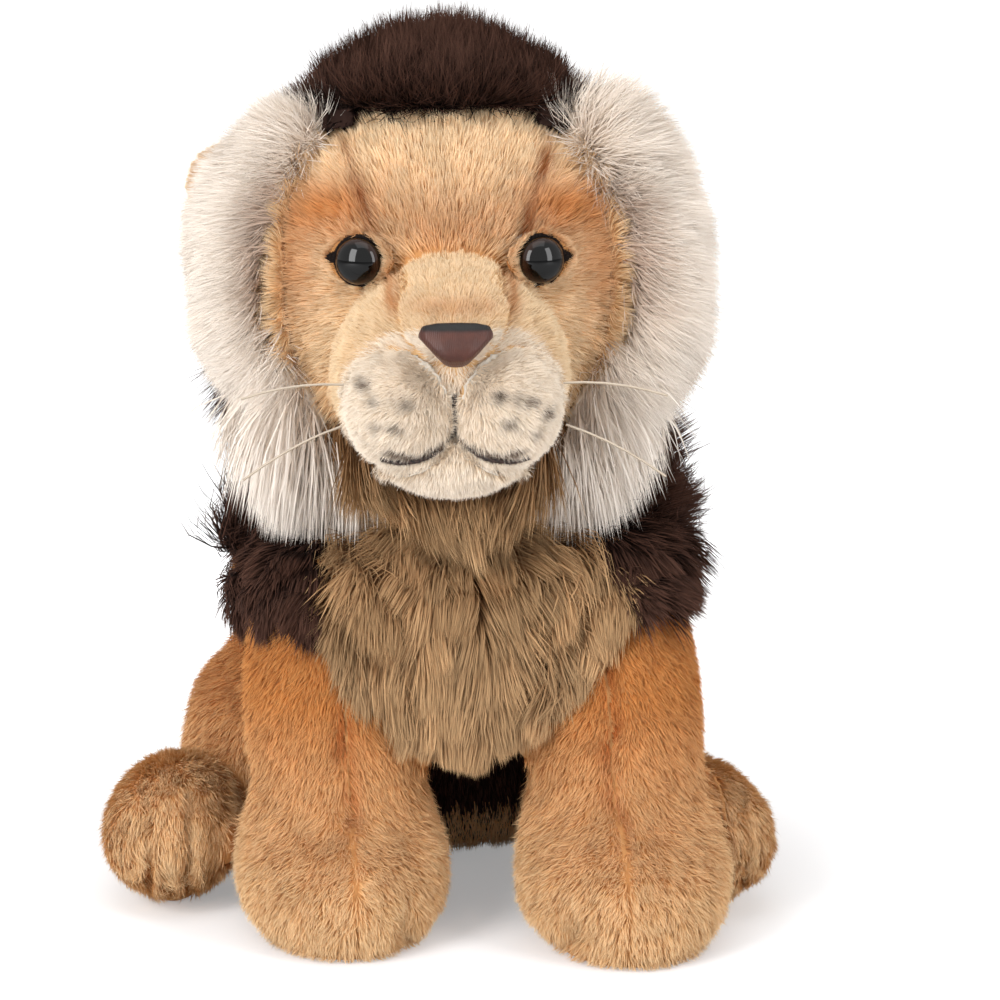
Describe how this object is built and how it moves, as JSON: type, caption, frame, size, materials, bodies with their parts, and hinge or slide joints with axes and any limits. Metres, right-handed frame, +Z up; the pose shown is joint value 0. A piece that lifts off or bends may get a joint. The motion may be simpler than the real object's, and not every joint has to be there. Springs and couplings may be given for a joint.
{
  "type": "plush lion",
  "caption": "Sitting plush lion with a cream ruff, a dark crown and shoulder mane, a chest bib, a head that turns and nods, folding ears and a swinging tail.",
  "frame": {"origin": "the middle of the footprint, on the floor that the lion sits on", "axes": "+Z up, -Y the way that the lion faces, +X to its own left"},
  "size_m": [0.1801, 0.2214, 0.2333],
  "materials": {
    "tan_plush": "short cut-pile polyester plush",
    "pale_tan_plush": "very short cut-pile polyester plush",
    "cream_plush": "long-pile polyester faux fur",
    "white_plush": "short cut-pile polyester plush",
    "dark_plush": "long-pile polyester faux fur",
    "ticked_plush": "long-pile polyester faux fur with dark tips",
    "nose_satin": "satin-faced woven polyester",
    "lip_thread": "twisted embroidery thread",
    "eye_plastic": "polished moulded plastic",
    "rim_felt": "pressed felt",
    "washer_plastic": "plain moulded plastic",
    "whisker_nylon": "drawn nylon line",
    "bag_cotton": "plain woven cotton",
    "packed_fibre": "packed polyester filling"
  },
  "bodies": {
    "torso": {"base_panel": "tan_plush", "belly_panel": "dark_plush", "chest_bib": "ticked_plush", "front_leg_left": "tan_plush", "front_leg_right": "tan_plush", "haunch_left": "tan_plush", "haunch_right": "tan_plush", "hind_foot_left": "tan_plush", "hind_foot_right": "tan_plush", "mane_back": "dark_plush", "mane_left": "dark_plush", "mane_right": "dark_plush", "pellet_bag": "bag_cotton", "torso": "tan_plush"},
    "neck": {"neck_plug": "packed_fibre"},
    "head": {"chin": "white_plush", "eye_left": "eye_plastic", "eye_right": "eye_plastic", "eye_rim_left": "rim_felt", "eye_rim_right": "rim_felt", "eye_washer_left": "washer_plastic", "eye_washer_right": "washer_plastic", "head": "tan_plush", "mane_crown": "dark_plush", "mouth_thread_left": "lip_thread", "mouth_thread_right": "lip_thread", "muzzle_cheeks": "pale_tan_plush", "muzzle_pad_left": "white_plush", "muzzle_pad_right": "white_plush", "nose": "nose_satin", "nose_bridge": "pale_tan_plush", "philtrum_thread": "lip_thread", "ruff_left": "cream_plush", "ruff_right": "cream_plush", "whisker_left_lower": "whisker_nylon", "whisker_left_upper": "whisker_nylon", "whisker_right_lower": "whisker_nylon", "whisker_right_upper": "whisker_nylon"},
    "ear_left": {"ear_left": "tan_plush"},
    "ear_right": {"ear_right": "tan_plush"},
    "tail": {"tail": "tan_plush", "tail_tuft": "dark_plush"}
  },
  "joints": [
    {"name": "head_turn", "type": "hinge", "parent": "torso", "child": "neck", "pos_m": [0.0063, -0.006, 0.122], "axis": [0, 0, 1], "range_deg": [-20, 20], "stiffness_Nm_per_rad": 0.6},
    {"name": "head_nod", "type": "hinge", "parent": "neck", "child": "head", "pos_m": [0.0063, -0.006, 0.122], "axis": [0.9954, -0.0958, 0], "range_deg": [-6, 6], "stiffness_Nm_per_rad": 4},
    {"name": "ear_fold_left", "type": "hinge", "parent": "head", "child": "ear_left", "pos_m": [0.05165, -0.01439, 0.18629], "axis": [-0.2744, 0.0264, 0.9613], "range_deg": [-12, 12], "stiffness_Nm_per_rad": 0.005},
    {"name": "ear_fold_right", "type": "hinge", "parent": "head", "child": "ear_right", "pos_m": [-0.03982, -0.00558, 0.18629], "axis": [0.2744, -0.0264, 0.9613], "range_deg": [-12, 12], "stiffness_Nm_per_rad": 0.005},
    {"name": "tail_swing", "type": "hinge", "parent": "torso", "child": "tail", "pos_m": [0.0063, 0.0845, 0.0172], "axis": [0, 0, 1], "range_deg": [-8, 60], "stiffness_Nm_per_rad": 0.01}
  ]
}
